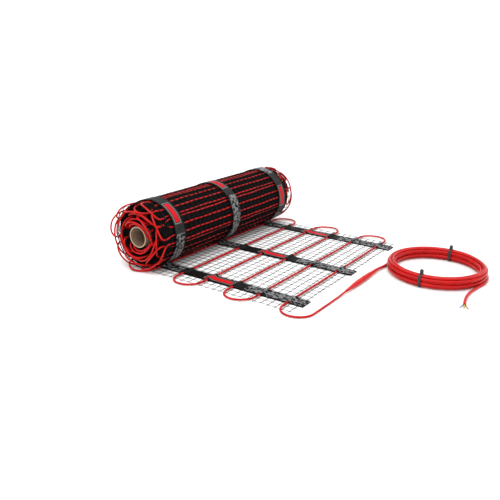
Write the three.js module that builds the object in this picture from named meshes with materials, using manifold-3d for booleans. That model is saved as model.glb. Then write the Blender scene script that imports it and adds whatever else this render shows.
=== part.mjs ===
// Underfloor heating mat: a mesh mat that carries one heating cable in runs and loops, partly
// rolled up on a cardboard core, with its connection lead coiled beside it.
// Millimetres, +Z up. X runs along the unrolled mat away from the roll, Y along the roll's axis.
import * as THREE from 'three';
import { mergeVertices } from 'three/addons/utils/BufferGeometryUtils.js';
import Module from 'manifold-3d';

const wasm = await Module();
wasm.setup();

// Heating cable and its runs
const heatingCableDiameter = 4;
const runSpacing = 60;
const runCount = 6;
const matWidth = 496;
const cableSides = 8;
const loopSteps = 10;

// Mesh of the mat: weft threads lie along the runs, warp threads cross them
const threadWidth = 1.2;
const threadThickness = 0.5;
const weftPitch = 15;
const warpPitch = 14.9;
const warpCount = 31;
const meshShift = -3;
const weftPastRun = 5.1;
const weftsPastLastRun = 1;

// Adhesive tapes across the runs
const tapeWidth = 28.6;
const tapeThickness = 0.4;
const tapePitch = 186;
const tapePastLastRun = 30;
const archFoot = 7;

// Roll on its core
const rollRadius = 69.3;
const rollToFirstRun = 22.7;
const outerTurnThickness = 6.4;
const outerTurnEndThickness = 2.2;
const outerTurnSweep = 345;
const rolledRunSpacing = 57.6;
const rolledRunCount = 7;
const rolledLoopNearReach = 18;
const rolledLoopFarReach = 27;
const cableSettleDegrees = 30;
const innerTurns = 8;
const coreOuterDiameter = 42;
const coreWall = 1.6;
const coreLength = 474;
const endGrooveDepth = 16;
const rollSegments = 48;

// Splice sleeve between the heating cable and the lead
const sleeveDiameter = 10.6;
const sleeveLength = 135;
const sleeveTaper = 50;
const sleeveStartY = -97;

// Connection lead, its coil, ties and stripped cores
const leadDiameter = 5.2;
const leadSides = 10;
const coilMeanRadius = 87.9;
const coilRadialWidth = 17.8;
const coilHeight = 23.2;
const coilCentreX = 459.5;
const coilCentreY = 102.3;
const coilSegments = 48;
const coilSectionPoints = 12;
const tieWidth = 4;
const tieThickness = 1;
const tieHeadHeight = 6;
const tieHeadSize = 6;
const coreConductorDiameter = 1.7;
const coreConductorLength = 14;
const coreConductorFan = 22;

// Clearances
const layerGap = 0.15;
const seatGap = 0.3;

// Heights of the layers, from the floor up
const weftBottom = tapeThickness + layerGap;
const warpBottom = weftBottom + threadThickness + layerGap;
const warpTop = warpBottom + threadThickness;
const cableRadius = heatingCableDiameter / 2;
const cableHeight = warpTop + layerGap + cableRadius;
const upperTapeBottom = warpTop + layerGap;

// Places along the mat
const rollAxisX = -rollToFirstRun;
const rollAxisZ = rollRadius;
const loopRadius = runSpacing / 2;
const halfMatWidth = matWidth / 2;
const loopCentreY = halfMatWidth - cableRadius - loopRadius;
const lastRunX = (runCount - 1) * runSpacing;
const tapeEndX = lastRunX + tapePastLastRun;
const tailX = lastRunX + runSpacing;
const sleeveX = tailX + 2;
const matStartX = rollAxisX + seatGap;
const coreRadius = coreOuterDiameter / 2;
const boreRadius = coreRadius + seatGap;
const bandInnerAtBottom = rollRadius - tapeThickness;
const turnOuterAtBottom = bandInnerAtBottom - seatGap;
const turnInnerRadius = turnOuterAtBottom - cableRadius - outerTurnThickness;
const innerRollRadius = turnInnerRadius - seatGap;
const halfRollLength = halfMatWidth - 1;
const meshWidth = (warpCount - 1) * warpPitch + threadWidth;
const cableStartAngle = Math.asin((matStartX + cableRadius / 2 + loopRadius) / loopRadius);

// The origin is below the middle of the mat's box
const partMinX = rollAxisX - rollRadius;
const partMaxX = sleeveX + sleeveDiameter / 2;
const originX = (partMinX + partMaxX) / 2;

const colours = {
  cable: 0xc81414,
  lead: 0xcc1c1c,
  sleeve: 0xd02020,
  thread: 0x1c1c1e,
  tape: 0x3c3c3e,
  turn: 0x3a1416,
  card: 0xb59a78,
  tie: 0x202424,
  earth: 0xc8d828,
  neutral: 0x6078a8,
  live: 0xb04048,
};

const mat = new THREE.Group();
mat.position.x = -originX;

function addMesh(name, geometry, colour, roughness) {
  const material = new THREE.MeshStandardMaterial({ color: colour, roughness, metalness: 0 });
  const mesh = new THREE.Mesh(geometry, material);
  mesh.name = name;
  mat.add(mesh);
  return mesh;
}

// A profile drawn in X and Z, extruded along Y about a middle value of Y
function extrudeAcross(shape, width, middleY) {
  const geometry = new THREE.ExtrudeGeometry(shape, { depth: width, bevelEnabled: false });
  geometry.rotateX(Math.PI / 2);
  geometry.translate(0, middleY + width / 2, 0);
  return geometry;
}

// A polyline whose points are its own steps, so straight stretches take one step each
class StepRoute extends THREE.Curve {
  constructor(points) {
    super();
    this.points = points;
  }
  getPoint(t, target = new THREE.Vector3()) {
    const place = t * (this.points.length - 1);
    const index = Math.min(Math.floor(place), this.points.length - 2);
    return target.copy(this.points[index]).lerp(this.points[index + 1], place - index);
  }
  getPointAt(u, target) {
    return this.getPoint(u, target);
  }
  getSpacedPoints(divisions) {
    return this.getPoints(divisions);
  }
  getTangentAt(u, target = new THREE.Vector3()) {
    const index = Math.round(u * (this.points.length - 1));
    const here = this.points[index];
    const before = this.points[Math.max(index - 1, 0)];
    const after = this.points[Math.min(index + 1, this.points.length - 1)];
    const arriving = here.clone().sub(before).normalize();
    const leaving = after.clone().sub(here).normalize();
    return target.copy(arriving.add(leaving)).normalize();
  }
}

function roundSection(diameter, sides) {
  const section = new THREE.Shape();
  for (let side = 0; side < sides; side += 1) {
    const angle = (side * 2 * Math.PI) / sides;
    const x = (diameter / 2) * Math.cos(angle);
    const y = (diameter / 2) * Math.sin(angle);
    if (side === 0) section.moveTo(x, y);
    else section.lineTo(x, y);
  }
  section.closePath();
  return section;
}

function tubeAlong(points, diameter, sides) {
  return new THREE.ExtrudeGeometry(roundSection(diameter, sides), {
    steps: points.length - 1,
    extrudePath: new StepRoute(points),
    bevelEnabled: false,
  });
}

// Half a turn of cable, or part of one, in the plane of the mat
function loopPoints(centreX, side, fromAngle, toAngle, height) {
  const points = [];
  for (let step = 0; step <= loopSteps; step += 1) {
    const angle = fromAngle + ((toAngle - fromAngle) * step) / loopSteps;
    const x = centreX + loopRadius * Math.sin(angle);
    const y = side * (loopCentreY + loopRadius * Math.cos(angle));
    points.push(new THREE.Vector3(x, y, height(step / loopSteps)));
  }
  return points;
}

// Cardboard core: a plain tube through the roll
function coreTube() {
  const inner = coreRadius - coreWall;
  const half = coreLength / 2;
  const profile = [
    new THREE.Vector2(inner, -half),
    new THREE.Vector2(coreRadius, -half),
    new THREE.Vector2(coreRadius, half),
    new THREE.Vector2(inner, half),
    new THREE.Vector2(inner, -half),
  ];
  const mesh = addMesh('core_tube', new THREE.LatheGeometry(profile, rollSegments), colours.card, 0.9);
  mesh.position.set(rollAxisX, 0, rollAxisZ);
}

// Rolled turns: one turned solid with its bore, each turn a ridge on both ends
function rolledTurns() {
  const turnPitch = (innerRollRadius - boreRadius) / innerTurns;
  const ridge = turnPitch * 0.3;
  const grooved = halfRollLength - endGrooveDepth;
  const farEnd = [new THREE.Vector2(boreRadius, grooved)];
  for (let turn = 0; turn < innerTurns; turn += 1) {
    const start = boreRadius + turn * turnPitch;
    farEnd.push(new THREE.Vector2(start + ridge, halfRollLength));
    farEnd.push(new THREE.Vector2(start + turnPitch - ridge, halfRollLength));
    farEnd.push(new THREE.Vector2(start + turnPitch, grooved));
  }
  const nearEnd = farEnd.map((point) => new THREE.Vector2(point.x, -point.y));
  const profile = [...nearEnd, ...farEnd.reverse(), nearEnd[0].clone()];
  const mesh = addMesh('rolled_turns', new THREE.LatheGeometry(profile, rollSegments), colours.turn, 0.8);
  mesh.position.set(rollAxisX, 0, rollAxisZ);
}

// Place on a spiral about the roll's axis: the angle is taken from straight down, over the left
function spiralPoint(radiusAt, degrees) {
  const angle = THREE.MathUtils.degToRad(degrees);
  const radius = radiusAt(degrees);
  return new THREE.Vector2(rollAxisX - radius * Math.sin(angle), rollAxisZ - radius * Math.cos(angle));
}

function outerTurnRadius(degrees) {
  const loss = outerTurnThickness - outerTurnEndThickness;
  return turnOuterAtBottom - (loss * degrees) / outerTurnSweep;
}

function crescent(innerAt, outerAt, sweep) {
  const steps = rollSegments - 2;
  const shape = new THREE.Shape();
  const outer = [];
  const inner = [];
  for (let step = 0; step <= steps; step += 1) {
    const degrees = (sweep * step) / steps;
    outer.push(spiralPoint(outerAt, degrees));
    inner.push(spiralPoint(innerAt, degrees));
  }
  shape.setFromPoints([...outer, ...inner.reverse()]);
  return shape;
}

// Place of the cable's centreline on the outermost turn, for a distance along the mat from the
// first run. On its last stretch before the flat mat it settles to its height there
function woundPoint(along, y) {
  if (along > rollAxisX) return new THREE.Vector3(along, y, cableHeight);
  const spiralPitch = ((outerTurnThickness - outerTurnEndThickness) * 360) / outerTurnSweep;
  const wound = rollAxisX - along;
  const inward = turnOuterAtBottom - Math.sqrt(turnOuterAtBottom ** 2 - (spiralPitch * wound) / Math.PI);
  const degrees = (inward * 360) / spiralPitch;
  const settled = Math.max(1 - degrees / cableSettleDegrees, 0);
  const onTurn = outerTurnRadius(degrees) - cableRadius;
  const radius = onTurn + (rollAxisZ - cableHeight - onTurn) * settled;
  const place = spiralPoint(() => radius, degrees);
  return new THREE.Vector3(place.x, y, place.y);
}

// The cable of the outermost turn: its runs stand out as ridges, and its loops reach past both
// ends of the roll. The last one meets the heating cable on the flat mat
function woundCable() {
  const place = (run) => (run > 0 ? -runSpacing - (run - 1) * rolledRunSpacing : 0);
  const points = [woundPoint(place(rolledRunCount), loopCentreY)];
  for (let run = rolledRunCount; run > 0; run -= 1) {
    const middle = (place(run) + place(run - 1)) / 2;
    const halfSpan = (place(run - 1) - place(run)) / 2;
    const near = run % 2 === 1;
    const looseReach = near ? rolledLoopNearReach : rolledLoopFarReach;
    const reach = run === 1 ? loopRadius : looseReach;
    const lastAngle = run === 1 ? cableStartAngle - seatGap / loopRadius : Math.PI / 2;
    for (let step = 0; step <= loopSteps; step += 1) {
      const angle = -Math.PI / 2 + ((lastAngle + Math.PI / 2) * step) / loopSteps;
      const y = (near ? -1 : 1) * (loopCentreY + reach * Math.cos(angle));
      points.push(woundPoint(middle + halfSpan * Math.sin(angle), y));
    }
  }
  return tubeAlong(points, heatingCableDiameter, cableSides);
}

// Outermost turn: it leaves the roll at the bottom and becomes the flat mat
function outerTurn() {
  const outer = (degrees) => outerTurnRadius(degrees) - cableRadius;
  const shape = crescent(() => turnInnerRadius, outer, outerTurnSweep);
  const sheet = extrudeAcross(shape, meshWidth, meshShift);
  addMesh('outer_turn', joinSolids([sheet, woundCable()]), colours.turn, 0.8);
}

// Tape bands on the outside of the roll
function rollTape(name, middleY) {
  const inner = (degrees) => outerTurnRadius(degrees) + seatGap;
  const outer = (degrees) => inner(degrees) + tapeThickness;
  const shape = crescent(inner, outer, outerTurnSweep);
  addMesh(name, extrudeAcross(shape, tapeWidth, middleY), colours.tape, 0.6);
}

// Lower tape: a flat strip on the floor under the mesh
function lowerTape(name, middleY) {
  const length = tapeEndX - matStartX;
  const geometry = new THREE.BoxGeometry(length, tapeWidth, tapeThickness);
  const mesh = addMesh(name, geometry, colours.tape, 0.6);
  mesh.position.set(matStartX + length / 2, middleY, tapeThickness / 2);
}

// Upper tape: it lies on the mesh and arches over each run of cable
function upperTape(name, middleY) {
  const clear = cableRadius + seatGap;
  const lift = cableHeight + clear;
  const underside = [new THREE.Vector2(matStartX, upperTapeBottom)];
  for (let run = 0; run < runCount; run += 1) {
    const x = run * runSpacing;
    underside.push(new THREE.Vector2(x - archFoot, upperTapeBottom));
    underside.push(new THREE.Vector2(x - 1.4 * clear, cableHeight + 0.26 * clear));
    underside.push(new THREE.Vector2(x - 0.6 * clear, lift));
    underside.push(new THREE.Vector2(x + 0.6 * clear, lift));
    underside.push(new THREE.Vector2(x + 1.4 * clear, cableHeight + 0.26 * clear));
    underside.push(new THREE.Vector2(x + archFoot, upperTapeBottom));
  }
  underside.push(new THREE.Vector2(tapeEndX, upperTapeBottom));
  const top = underside.map((point) => new THREE.Vector2(point.x, point.y + tapeThickness));
  const shape = new THREE.Shape();
  shape.setFromPoints([...underside, ...top.reverse()]);
  addMesh(name, extrudeAcross(shape, tapeWidth, middleY), colours.tape, 0.6);
}

// Several overlapping solids joined into one closed body. Their corners are first rounded to a
// thousandth of a millimetre, so that sides in one plane meet exactly
function joinSolids(geometries) {
  let joined = null;
  for (const geometry of geometries) {
    geometry.deleteAttribute('normal');
    geometry.deleteAttribute('uv');
    const merged = mergeVertices(geometry);
    const corners = merged.attributes.position.array.map((value) => Math.round(value * 1000) / 1000);
    const solid = new wasm.Manifold(new wasm.Mesh({
      numProp: 3,
      vertProperties: corners,
      triVerts: new Uint32Array(merged.index.array),
    }));
    joined = joined ? joined.add(solid) : solid;
  }
  const result = joined.asOriginal().simplify(0.003).getMesh();
  const geometry = new THREE.BufferGeometry();
  geometry.setAttribute('position', new THREE.BufferAttribute(result.vertProperties, 3));
  geometry.setIndex(new THREE.BufferAttribute(result.triVerts, 1));
  geometry.computeVertexNormals();
  return geometry;
}

// A straight thread from one corner to the other, lying on the given height
function threadBar(minX, minY, maxX, maxY, bottom) {
  const bar = new THREE.BoxGeometry(maxX - minX, maxY - minY, threadThickness);
  bar.translate((minX + maxX) / 2, (minY + maxY) / 2, bottom + threadThickness / 2);
  return bar;
}

// One set of parallel threads, fused at both ends to a cross thread
function threadLadder(name, alongX, places, from, to, bottom) {
  const half = threadWidth / 2;
  const first = places[0] - half;
  const last = places[places.length - 1] + half;
  const bar = (acrossFrom, acrossTo, alongFrom, alongTo) =>
    alongX
      ? threadBar(alongFrom, acrossFrom, alongTo, acrossTo, bottom)
      : threadBar(acrossFrom, alongFrom, acrossTo, alongTo, bottom);
  const bars = [
    bar(first, last, from - half, from + half),
    bar(first, last, to - half, to + half),
  ];
  for (const place of places) bars.push(bar(place - half, place + half, from, to));
  addMesh(name, joinSolids(bars), colours.thread, 0.8);
}

// Mesh: wefts along the runs below, warps across them above
function meshThreads() {
  const lastWeft = lastRunX + weftPastRun + weftsPastLastRun * weftPitch;
  const wefts = [];
  for (let x = lastWeft; x > matStartX + threadWidth; x -= weftPitch) wefts.unshift(x);
  const halfWarps = ((warpCount - 1) * warpPitch) / 2;
  const warps = [];
  for (let index = 0; index < warpCount; index += 1) {
    warps.push(meshShift - halfWarps + index * warpPitch);
  }
  const nearEdge = warps[0];
  const farEdge = warps[warpCount - 1];
  threadLadder('mesh_weft', false, wefts, nearEdge, farEdge, weftBottom);
  const rollEdge = matStartX + threadWidth;
  threadLadder('mesh_warp', true, warps, rollEdge, lastWeft, warpBottom);
}

// Heating cable: runs across the mat, half-round loops past its edges, then a tail to the sleeve
function heatingCable() {
  const onMat = () => cableHeight;
  const points = loopPoints(-loopRadius, -1, cableStartAngle, Math.PI / 2, onMat);
  for (let run = 1; run < runCount; run += 1) {
    const side = run % 2 === 1 ? 1 : -1;
    const centreX = (run - 0.5) * runSpacing;
    points.push(...loopPoints(centreX, side, -Math.PI / 2, Math.PI / 2, onMat));
  }
  const tailHeight = cableRadius + seatGap;
  const sinking = (share) => cableHeight + (tailHeight - cableHeight) * share;
  points.push(...loopPoints(lastRunX + loopRadius, -1, -Math.PI / 2, Math.PI / 2, sinking));
  points.push(new THREE.Vector3(tailX + 0.5, sleeveStartY - 60, tailHeight));
  points.push(new THREE.Vector3(tailX + 1.3, sleeveStartY - 25, tailHeight + 1));
  points.push(new THREE.Vector3(sleeveX, sleeveStartY - seatGap, sleeveDiameter / 2));
  addMesh('heating_cable', tubeAlong(points, heatingCableDiameter, cableSides), colours.cable, 0.4);
}

// Splice sleeve: shrunk over the joint, thick in the middle and drawn in at both ends
function spliceSleeve() {
  const half = sleeveLength / 2;
  const middle = half - sleeveTaper;
  const profile = [
    new THREE.Vector2(0, -half),
    new THREE.Vector2(cableRadius + 0.5, -half),
    new THREE.Vector2(sleeveDiameter / 2 - 0.8, -middle - 12),
    new THREE.Vector2(sleeveDiameter / 2, -middle),
    new THREE.Vector2(sleeveDiameter / 2, middle),
    new THREE.Vector2(sleeveDiameter / 2 - 0.8, middle + 12),
    new THREE.Vector2(leadDiameter / 2 + 0.5, half),
    new THREE.Vector2(0, half),
  ];
  const mesh = addMesh('splice_sleeve', new THREE.LatheGeometry(profile, 12), colours.sleeve, 0.45);
  mesh.position.set(sleeveX, sleeveStartY + half, sleeveDiameter / 2);
}

// Heights of the coil and of a lead on the floor, and the circle on which that lead meets the coil
const coilLift = tieThickness + seatGap;
const coilMiddleZ = coilLift + coilHeight / 2;
const leadHeight = leadDiameter / 2 + seatGap;
const coilDrop = (coilMiddleZ - leadHeight) / (coilHeight / 2);
const coilSideThere = coilMeanRadius + (coilRadialWidth / 2) * Math.sqrt(1 - coilDrop ** 2);
const meetingRadius = coilSideThere + leadDiameter / 2 + 1.5 * seatGap;

function coilMeeting(degrees) {
  const angle = THREE.MathUtils.degToRad(degrees);
  const x = coilCentreX + meetingRadius * Math.cos(angle);
  return [x, coilCentreY + meetingRadius * Math.sin(angle)];
}

// Lead from the sleeve to the outside of the coil, on the floor
function leadFromSleeve() {
  const startY = sleeveStartY + sleeveLength + seatGap;
  const [meetX, meetY] = coilMeeting(184.5);
  const points = [
    new THREE.Vector3(sleeveX, startY, sleeveDiameter / 2),
    new THREE.Vector3(sleeveX + 0.2, startY + 8, sleeveDiameter / 2 - 0.6),
    new THREE.Vector3(sleeveX + 0.7, startY + 20, leadHeight + 0.8),
    new THREE.Vector3(sleeveX + 1.4, startY + 33, leadHeight),
    new THREE.Vector3(sleeveX + 2, startY + 45, leadHeight),
    new THREE.Vector3(meetX, meetY, leadHeight),
  ];
  addMesh('lead_start', tubeAlong(points, leadDiameter, leadSides), colours.lead, 0.4);
}

// Coiled lead: the outer shape of all its turns
function leadCoil() {
  const profile = [];
  for (let index = 0; index <= coilSectionPoints; index += 1) {
    const angle = (index * 2 * Math.PI) / coilSectionPoints;
    const radius = coilMeanRadius + (coilRadialWidth / 2) * Math.sin(angle);
    profile.push(new THREE.Vector2(radius, -(coilHeight / 2) * Math.cos(angle)));
  }
  profile[coilSectionPoints] = profile[0].clone();
  const geometry = new THREE.LatheGeometry(profile, coilSegments);
  geometry.rotateX(Math.PI / 2);
  const mesh = addMesh('lead_coil', geometry, colours.lead, 0.4);
  mesh.position.set(coilCentreX, coilCentreY, coilMiddleZ);
}

// Free end of the lead, from the outside of the coil
const freeEnd = [
  coilMeeting(-8.5),
  [551.3, 70],
  [548.6, 50],
  [546.4, 30],
  [546.9, 10],
  [550.2, -10],
  [554.6, -29],
];

function leadEnd() {
  const points = freeEnd.map(([x, y]) => new THREE.Vector3(x, y, leadHeight));
  addMesh('lead_end', tubeAlong(points, leadDiameter, leadSides), colours.lead, 0.4);
}

// Three insulated cores, fanned out past the end of the jacket
function leadCores() {
  const [tipX, tipY] = freeEnd[freeEnd.length - 1];
  const [beforeX, beforeY] = freeEnd[freeEnd.length - 2];
  const heading = Math.atan2(tipY - beforeY, tipX - beforeX);
  const names = ['core_neutral', 'core_earth', 'core_live'];
  const tints = [colours.neutral, colours.earth, colours.live];
  names.forEach((name, index) => {
    const turn = (index - 1) * THREE.MathUtils.degToRad(coreConductorFan);
    const aside = (index - 1) * leadDiameter * 0.36;
    const angle = heading + turn;
    const startX = tipX + seatGap * Math.cos(heading) - aside * Math.sin(heading);
    const startY = tipY + seatGap * Math.sin(heading) + aside * Math.cos(heading);
    const points = [0, 0.5, 1].map((share) => {
      const bend = angle + turn * share * 0.4;
      const along = share * coreConductorLength;
      const out = seatGap + coreConductorDiameter * 0.25;
      return new THREE.Vector3(
        startX + out * Math.cos(heading) + along * Math.cos(bend),
        startY + out * Math.sin(heading) + along * Math.sin(bend),
        leadHeight - share * 0.8,
      );
    });
    addMesh(name, tubeAlong(points, coreConductorDiameter, cableSides), tints[index], 0.4);
  });
}

// Cable ties: a strap round the coil with its square head on top
function cableTie(name, side) {
  const outerHalfWidth = coilRadialWidth / 2 + seatGap + tieThickness;
  const outerHalfHeight = coilHeight / 2 + seatGap + tieThickness;
  const ring = (halfWidth, halfHeight) => {
    const points = [];
    for (let index = 0; index < 16; index += 1) {
      const angle = (index * Math.PI) / 8;
      points.push(new THREE.Vector2(halfWidth * Math.sin(angle), halfHeight * Math.cos(angle)));
    }
    return points;
  };
  const widen = 1 / Math.cos(Math.PI / 16);
  const innerHalfWidth = (coilRadialWidth / 2 + seatGap) * widen;
  const innerHalfHeight = coilHeight / 2 + seatGap;
  const headHalf = tieHeadSize / 2;
  const outer = ring(outerHalfWidth, outerHalfHeight);
  const headTop = outerHalfHeight + tieHeadHeight;
  const neckHeight = outerHalfHeight * Math.sqrt(1 - (headHalf / outerHalfWidth) ** 2);
  const outline = new THREE.Shape();
  outline.setFromPoints([
    new THREE.Vector2(-headHalf, neckHeight),
    new THREE.Vector2(-headHalf, headTop),
    new THREE.Vector2(headHalf, headTop),
    new THREE.Vector2(headHalf, neckHeight),
    ...outer.slice(1),
  ]);
  const hole = new THREE.Path();
  hole.setFromPoints(ring(innerHalfWidth, innerHalfHeight).reverse());
  outline.holes.push(hole);
  const geometry = new THREE.ExtrudeGeometry(outline, { depth: tieWidth, bevelEnabled: false });
  geometry.translate(0, 0, -tieWidth / 2);
  geometry.rotateX(Math.PI / 2);
  geometry.rotateZ(Math.PI / 2);
  const mesh = addMesh(name, geometry, colours.tie, 0.5);
  mesh.position.set(coilCentreX, coilCentreY + side * coilMeanRadius, coilMiddleZ);
}

coreTube();
rolledTurns();
outerTurn();
const tapeRows = [
  ['near', -tapePitch],
  ['middle', 0],
  ['far', tapePitch],
];
for (const [row, middleY] of tapeRows) {
  rollTape(`roll_tape_${row}`, middleY);
  lowerTape(`lower_tape_${row}`, middleY);
  upperTape(`upper_tape_${row}`, middleY);
}
meshThreads();
heatingCable();
spliceSleeve();
leadFromSleeve();
leadCoil();
leadEnd();
leadCores();
cableTie('cable_tie_front', -1);
cableTie('cable_tie_back', 1);

export default mat;
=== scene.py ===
import math
import random

import bpy
import numpy as np
from mathutils import Matrix, Vector


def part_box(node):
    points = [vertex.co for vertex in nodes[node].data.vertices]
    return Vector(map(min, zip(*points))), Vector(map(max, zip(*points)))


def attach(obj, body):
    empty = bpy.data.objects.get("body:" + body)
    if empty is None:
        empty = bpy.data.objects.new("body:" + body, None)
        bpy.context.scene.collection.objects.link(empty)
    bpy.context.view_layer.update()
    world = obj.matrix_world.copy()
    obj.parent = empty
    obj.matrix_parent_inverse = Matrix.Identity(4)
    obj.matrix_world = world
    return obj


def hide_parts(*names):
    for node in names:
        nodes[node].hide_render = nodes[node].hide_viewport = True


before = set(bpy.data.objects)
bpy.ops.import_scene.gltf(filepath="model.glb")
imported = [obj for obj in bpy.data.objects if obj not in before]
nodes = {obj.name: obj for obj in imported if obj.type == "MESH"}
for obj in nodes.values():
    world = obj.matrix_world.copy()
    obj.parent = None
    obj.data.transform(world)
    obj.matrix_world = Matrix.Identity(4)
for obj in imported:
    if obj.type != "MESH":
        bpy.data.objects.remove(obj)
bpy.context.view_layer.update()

# Camera
# It stands to the right of the mat's near corner and looks down along the unrolled part, as the
# photograph was taken: 19 degrees above the floor, with a lens a little longer than normal.
camera_place = Vector((0.66335, -1.04022, 0.43495))
camera_right = Vector((0.81988, 0.57246, 0.00937))
camera_up = Vector((-0.19387, 0.26219, 0.94534))
camera_data = bpy.data.cameras.new("camera")
camera_data.lens = 43.86
camera_data.sensor_width = 36
camera = bpy.data.objects.new("camera", camera_data)
turned = Matrix((camera_right, camera_up, camera_right.cross(camera_up))).transposed()
camera.matrix_world = Matrix.Translation(camera_place) @ turned.to_4x4()
bpy.context.scene.collection.objects.link(camera)
bpy.context.scene.camera = camera

# Connection lead
# The cold lead is a stiff round cable in a red plastic jacket. It comes out of the splice sleeve,
# is wound into a flat round coil of eleven and a half turns, and ends bare beside it.
lead_diameter = 0.0052
lead_radius = lead_diameter / 2
sleeve_low, sleeve_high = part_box("splice_sleeve")
sleeve_x = (sleeve_low.x + sleeve_high.x) / 2
sleeve_z = (sleeve_low.z + sleeve_high.z) / 2
coil_low, coil_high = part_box("lead_coil")
coil_x = (coil_low.x + coil_high.x) / 2
coil_y = (coil_low.y + coil_high.y) / 2
lead_above_floor = 0.0003
floor_height = lead_radius + lead_above_floor
path_spacing = 0.004


def add_object(name, mesh, smooth=True):
    piece = bpy.data.objects.new(name, mesh)
    bpy.context.scene.collection.objects.link(piece)
    mesh.polygons.foreach_set("use_smooth", [smooth] * len(mesh.polygons))
    return piece


def curve_points(corners, spacing):
    """Points along one smooth curve through the corners, about that far apart."""
    corners = np.array(corners, float)
    padded = np.vstack([2 * corners[0] - corners[1], corners, 2 * corners[-1] - corners[-2]])
    points = []
    for index in range(1, len(padded) - 2):
        before, here, after, later = padded[index - 1 : index + 3]
        count = max(2, int(np.linalg.norm(after - here) / spacing))
        for share in np.linspace(0, 1, count, endpoint=False):
            slope = after - before
            bend = 2 * before - 5 * here + 4 * after - later
            turn = 3 * here - before - 3 * after + later
            points.append((2 * here + slope * share + bend * share**2 + turn * share**3) / 2)
    points.append(corners[-1])
    return np.array(points)


def line_frames(points, up=None):
    """Tangent, side and up at each point; without a given up they are carried along the line."""
    tangent = np.gradient(points, axis=0)
    tangent /= np.linalg.norm(tangent, axis=1)[:, None]
    if up is None:
        up = np.empty_like(points)
        normal = np.cross(tangent[0], (0.0, 1.0, 0.0))
        if np.linalg.norm(normal) < 0.2:
            normal = np.cross(tangent[0], (1.0, 0.0, 0.0))
        for index, direction in enumerate(tangent):
            normal = normal - direction * np.dot(normal, direction)
            normal /= np.linalg.norm(normal)
            up[index] = normal
    side = np.cross(tangent, up)
    side /= np.linalg.norm(side, axis=1)[:, None]
    return tangent, side, np.cross(side, tangent)


def sweep(name, lines, half_width, half_height, sides, ups=None, unrolled=None, shares=None):
    """Closed tubes along the lines, as one mesh; the section is an oval or a circle."""
    verts = []
    faces = []
    flat = []
    offset = 0
    for number, points in enumerate(lines):
        _, side, up = line_frames(points, None if ups is None else ups[number])
        angles = np.arange(sides) * 2 * math.pi / sides
        share = 1.0 if shares is None else shares[number]
        wide = np.broadcast_to(np.asarray(half_width, float) * share, (len(points),))
        high = np.broadcast_to(np.asarray(half_height, float), (len(points),))
        ring = points[:, None, :] + side[:, None, :] * (wide[:, None] * np.cos(angles))[:, :, None]
        ring = ring + up[:, None, :] * (high[:, None] * np.sin(angles))[:, :, None]
        verts.append(ring.reshape(-1, 3))
        if unrolled is not None:
            flat.append(np.repeat(unrolled[number], sides, axis=0))
        start = offset + np.arange(len(points) - 1)[:, None] * sides
        here = np.arange(sides)[None, :]
        after = (here + 1) % sides
        quads = np.stack([start + here, start + sides + here, start + sides + after, start + after], 2)
        faces.extend(quads.reshape(-1, 4).tolist())
        faces.append(list(range(offset, offset + sides)))
        last = offset + (len(points) - 1) * sides
        faces.append(list(range(last + sides - 1, last - 1, -1)))
        offset += len(points) * sides
    mesh = bpy.data.meshes.new(name)
    mesh.from_pydata(np.concatenate(verts).tolist(), [], faces)
    if unrolled is not None:
        layer = mesh.attributes.new("unrolled", "FLOAT_VECTOR", "POINT")
        layer.data.foreach_set("vector", np.concatenate(flat).astype(np.float32).ravel())
    mesh.update()
    return add_object(name, mesh)


def new_group(name, inputs, outputs):
    """An empty shader node group with its named sockets and their defaults."""
    group = bpy.data.node_groups.new(name, "ShaderNodeTree")
    for label, kind, value in inputs:
        socket = group.interface.new_socket(label, in_out="INPUT", socket_type="NodeSocket" + kind)
        socket.default_value = value
    for label, kind in outputs:
        group.interface.new_socket(label, in_out="OUTPUT", socket_type="NodeSocket" + kind)
    return group, group.nodes.new("NodeGroupInput").outputs, group.nodes.new("NodeGroupOutput").inputs


def feed(tree, socket, value):
    """Link the socket if the value is another socket, and set it otherwise."""
    if isinstance(value, bpy.types.NodeSocket):
        tree.links.new(value, socket)
    else:
        socket.default_value = value


def put(tree, kind, settings=None, **values):
    """A node in the tree, with its settings and its inputs set or linked by name."""
    made = tree.nodes.new(kind)
    for key, value in (settings or {}).items():
        setattr(made, key, value)
    for label, value in values.items():
        feed(tree, made.inputs[label.replace("_", " ")], value)
    return made


def blend_colours(tree, factor, first, second):
    made = tree.nodes.new("ShaderNodeMix")
    made.data_type = "RGBA"
    for index, value in ((0, factor), (6, first), (7, second)):
        feed(tree, made.inputs[index], value)
    return made.outputs[2]


def arithmetic(tree, operation, *values):
    made = tree.nodes.new("ShaderNodeMath")
    made.operation = operation
    for index, value in enumerate(values):
        feed(tree, made.inputs[index], value)
    return made.outputs[0]


def ranged(tree, value, low, high, to_low, to_high):
    given = {"From_Min": low, "From_Max": high, "To_Min": to_low, "To_Max": to_high}
    return put(tree, "ShaderNodeMapRange", Value=value, **given).outputs["Result"]


# Extruded plastic: slight cloudiness in the colour, dull handled patches, and a fine drawn skin
plastic_skin, given, result = new_group(
    "plastic_skin",
    [
        ("Colour", "Color", (0.5, 0.5, 0.5, 1)),
        ("Deep Colour", "Color", (0.2, 0.2, 0.2, 1)),
        ("Cloud Scale", "Float", 60.0),
        ("Skin Scale", "Float", 1800.0),
        ("Smooth", "Float", 0.3),
        ("Dull", "Float", 0.5),
    ],
    [("Colour", "Color"), ("Roughness", "Float"), ("Height", "Float")],
)
place = put(plastic_skin, "ShaderNodeTexCoord").outputs["Object"]
cloud = put(plastic_skin, "ShaderNodeTexNoise", Vector=place, Scale=given["Cloud Scale"], Detail=5.0)
skin = put(plastic_skin, "ShaderNodeTexNoise", Vector=place, Scale=given["Skin Scale"], Detail=3.0)
patches = ranged(plastic_skin, cloud.outputs["Fac"], 0.35, 0.68, 0.0, 1.0)
plastic_skin.links.new(
    blend_colours(plastic_skin, patches, given["Colour"], given["Deep Colour"]), result["Colour"]
)
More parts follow.
